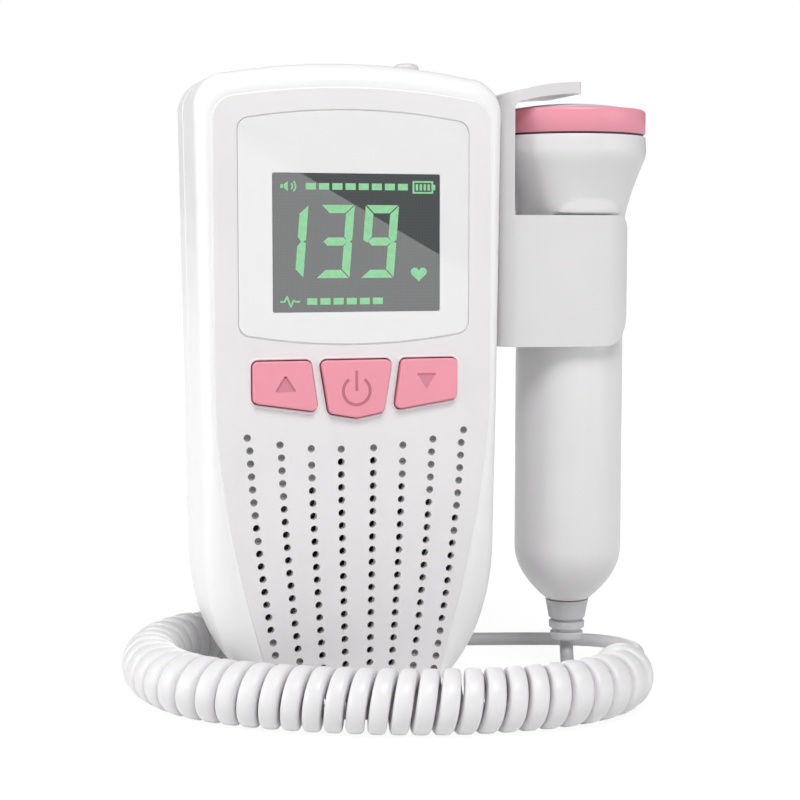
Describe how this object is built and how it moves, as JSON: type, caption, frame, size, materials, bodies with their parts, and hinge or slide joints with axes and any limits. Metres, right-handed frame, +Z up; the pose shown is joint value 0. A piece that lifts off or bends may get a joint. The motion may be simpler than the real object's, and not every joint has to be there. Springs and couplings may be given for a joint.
{
  "type": "fetal heart monitor",
  "caption": "Pocket fetal heart monitor with a display, keys, a fanned speaker grille and a curly cord to a probe in a side clip.",
  "frame": {"origin": "middle of the flat foot that the unit stands on", "axes": "+Z up the unit, +X towards the probe and its clip, -Y out of the display"},
  "size_m": [0.1232, 0.0859, 0.1367],
  "materials": {
    "white_plastic": "satin moulded",
    "pink_rubber": "soft satin",
    "grey_rubber": "matte",
    "cord_sleeve": "satin",
    "clear_lens": "polished clear",
    "lcd_glass": "smooth",
    "black_plastic": "matte",
    "circuit_board": "solder mask",
    "steel": "plated",
    "cone_paper": "pressed paper",
    "crystal_ceramic": "fired ceramic",
    "cell_foil": "printed foil"
  },
  "bodies": {
    "unit": {"front_housing": "white_plastic", "rear_housing": "white_plastic", "probe_holder": "white_plastic", "clip_arm_front": "white_plastic", "clip_arm_rear": "white_plastic", "display_lens": "clear_lens", "lcd_panel": "lcd_glass", "lcd_frame": "black_plastic", "speaker_frame": "black_plastic", "headphone_socket": "black_plastic", "switch_up": "black_plastic", "switch_power": "black_plastic", "switch_down": "black_plastic", "main_board": "circuit_board", "speaker_cone": "cone_paper", "speaker_magnet": "steel", "contact_bridge": "steel", "contact_plus": "steel", "contact_minus": "steel", "contact_spring_low": "steel", "contact_spring_high": "steel", "housing_screw_1": "steel", "housing_screw_2": "steel", "housing_screw_3": "steel", "housing_screw_4": "steel", "board_screw_1": "steel", "board_screw_2": "steel", "holder_screw_1": "steel", "holder_screw_2": "steel", "battery_1": "cell_foil", "battery_2": "cell_foil", "cord_gland": "grey_rubber", "cord_coil": "cord_sleeve", "cord_unit_lead": "cord_sleeve", "cord_probe_lead": "cord_sleeve"},
    "up_key": {"button_up": "pink_rubber"},
    "power_key": {"button_power": "pink_rubber"},
    "down_key": {"button_down": "pink_rubber"},
    "door": {"battery_door": "white_plastic"},
    "jack_cover": {"headphone_cover": "grey_rubber"},
    "probe": {"probe_body": "white_plastic", "probe_ring": "pink_rubber", "probe_face": "white_plastic", "crystal_send": "crystal_ceramic", "crystal_receive": "crystal_ceramic", "crystal_backing": "black_plastic", "probe_board": "circuit_board", "probe_strain_relief": "grey_rubber"}
  },
  "joints": [
    {"name": "up_press", "type": "slide", "parent": "unit", "child": "up_key", "axis": [0, 1, 0], "range_m": [0, 0.0008], "stiffness_N_per_m": 1500, "springref_m": -0.0003},
    {"name": "power_press", "type": "slide", "parent": "unit", "child": "power_key", "axis": [0, 1, 0], "range_m": [0, 0.0008], "stiffness_N_per_m": 1500, "springref_m": -0.0003},
    {"name": "down_press", "type": "slide", "parent": "unit", "child": "down_key", "axis": [0, 1, 0], "range_m": [0, 0.0008], "stiffness_N_per_m": 1500, "springref_m": -0.0003},
    {"name": "door_tilt", "type": "hinge", "parent": "unit", "child": "door", "pos_m": [0, 0.0125, 0.0188], "axis": [-1, 0, 0], "range_deg": [0, 90]},
    {"name": "cover_pull", "type": "slide", "parent": "unit", "child": "jack_cover", "axis": [0, 0, 1], "range_m": [0, 0.006]},
    {"name": "probe_unclip", "type": "slide", "parent": "unit", "child": "probe", "axis": [1, 0, 0], "range_m": [0, 0.03], "deforming": ["clip_arm_front", "clip_arm_rear", "cord_probe_lead"]}
  ]
}
